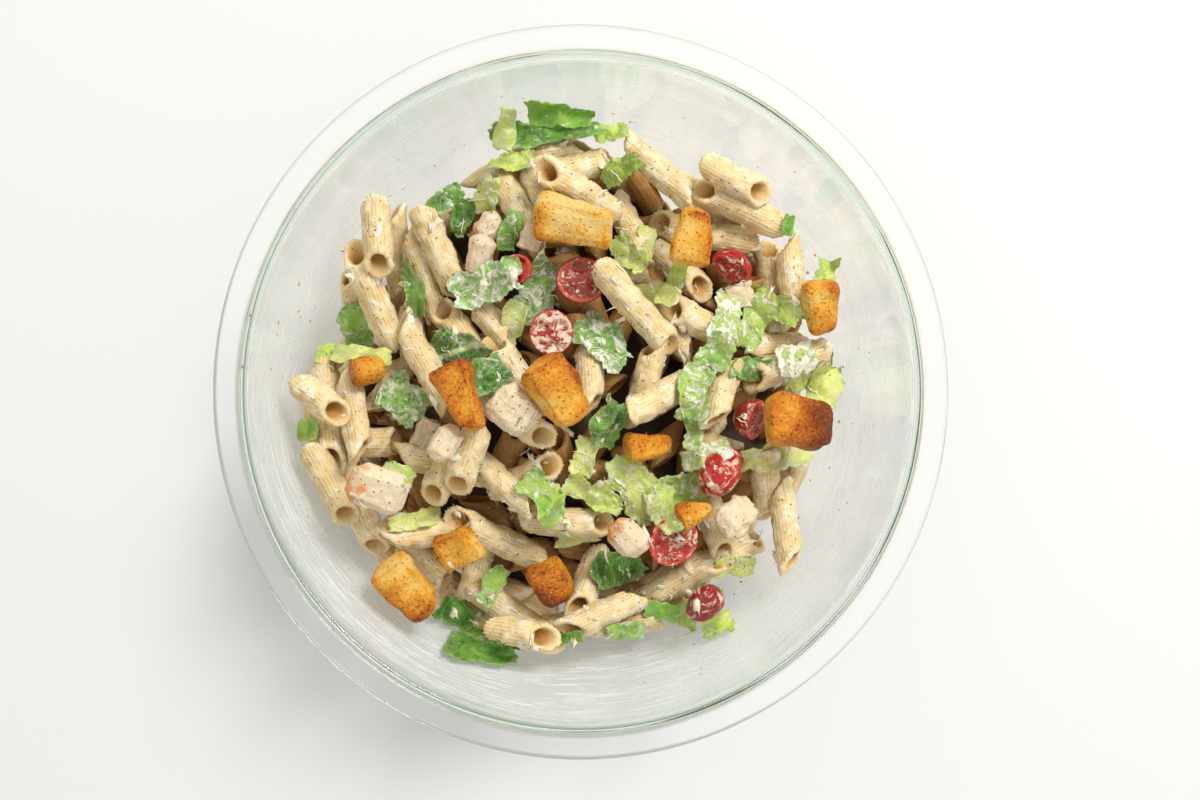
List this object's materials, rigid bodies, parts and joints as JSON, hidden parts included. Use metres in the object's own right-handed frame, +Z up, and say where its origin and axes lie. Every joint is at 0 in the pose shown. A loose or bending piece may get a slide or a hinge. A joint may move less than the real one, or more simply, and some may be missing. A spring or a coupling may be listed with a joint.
{
  "type": "bowl of pasta salad",
  "caption": "Clear glass mixing bowl filled with a dressed pasta salad of penne, torn lettuce, halved cherry tomatoes, diced chicken and croutons.",
  "frame": {"origin": "centre of the bowl's flat foot, at table level", "axes": "+Z up along the bowl's axis of turning; seen from above with +X to the right and +Y away, the salad lies as in the picture"},
  "size_m": [0.28, 0.28, 0.125],
  "materials": {
    "clear_glass": "polished clear glass with a faint green tint at the edges",
    "dressed_pasta": "cooked ridged pasta under a thin white dressing",
    "lettuce": "crinkled leaf with pale ribs, wet with dressing",
    "tomato": "shiny red skin and wet cut flesh",
    "cooked_chicken": "pale fibrous meat with browned edges",
    "toasted_bread": "dry toasted crumb with fine pores and darker edges"
  },
  "bodies": {
    "root": {"glass_bowl": "clear_glass", "pasta_heap": "dressed_pasta", "lettuce_01": "lettuce", "lettuce_02": "lettuce", "lettuce_03": "lettuce", "lettuce_04": "lettuce", "lettuce_05": "lettuce", "lettuce_06": "lettuce", "lettuce_07": "lettuce", "lettuce_08": "lettuce", "lettuce_09": "lettuce", "lettuce_10": "lettuce", "lettuce_11": "lettuce", "lettuce_12": "lettuce", "lettuce_13": "lettuce", "lettuce_14": "lettuce", "lettuce_15": "lettuce", "lettuce_16": "lettuce", "lettuce_17": "lettuce", "lettuce_18": "lettuce", "lettuce_19": "lettuce", "lettuce_20": "lettuce", "lettuce_21": "lettuce", "lettuce_22": "lettuce", "lettuce_23": "lettuce", "lettuce_24": "lettuce", "lettuce_25": "lettuce", "lettuce_26": "lettuce", "lettuce_27": "lettuce", "lettuce_28": "lettuce", "lettuce_29": "lettuce", "lettuce_30": "lettuce", "lettuce_31": "lettuce", "tomato_1": "tomato", "tomato_2": "tomato", "tomato_3": "tomato", "tomato_4": "tomato", "tomato_5": "tomato", "tomato_6": "tomato", "tomato_7": "tomato", "tomato_8": "tomato", "chicken_1": "cooked_chicken", "chicken_2": "cooked_chicken", "chicken_3": "cooked_chicken", "chicken_4": "cooked_chicken", "chicken_5": "cooked_chicken", "chicken_6": "cooked_chicken", "chicken_7": "cooked_chicken", "crouton_01": "toasted_bread", "crouton_02": "toasted_bread", "crouton_03": "toasted_bread", "crouton_04": "toasted_bread", "crouton_05": "toasted_bread", "crouton_06": "toasted_bread", "crouton_07": "toasted_bread", "crouton_08": "toasted_bread", "crouton_09": "toasted_bread", "crouton_10": "toasted_bread", "crouton_11": "toasted_bread", "crouton_12": "toasted_bread"}
  },
  "joints": []
}
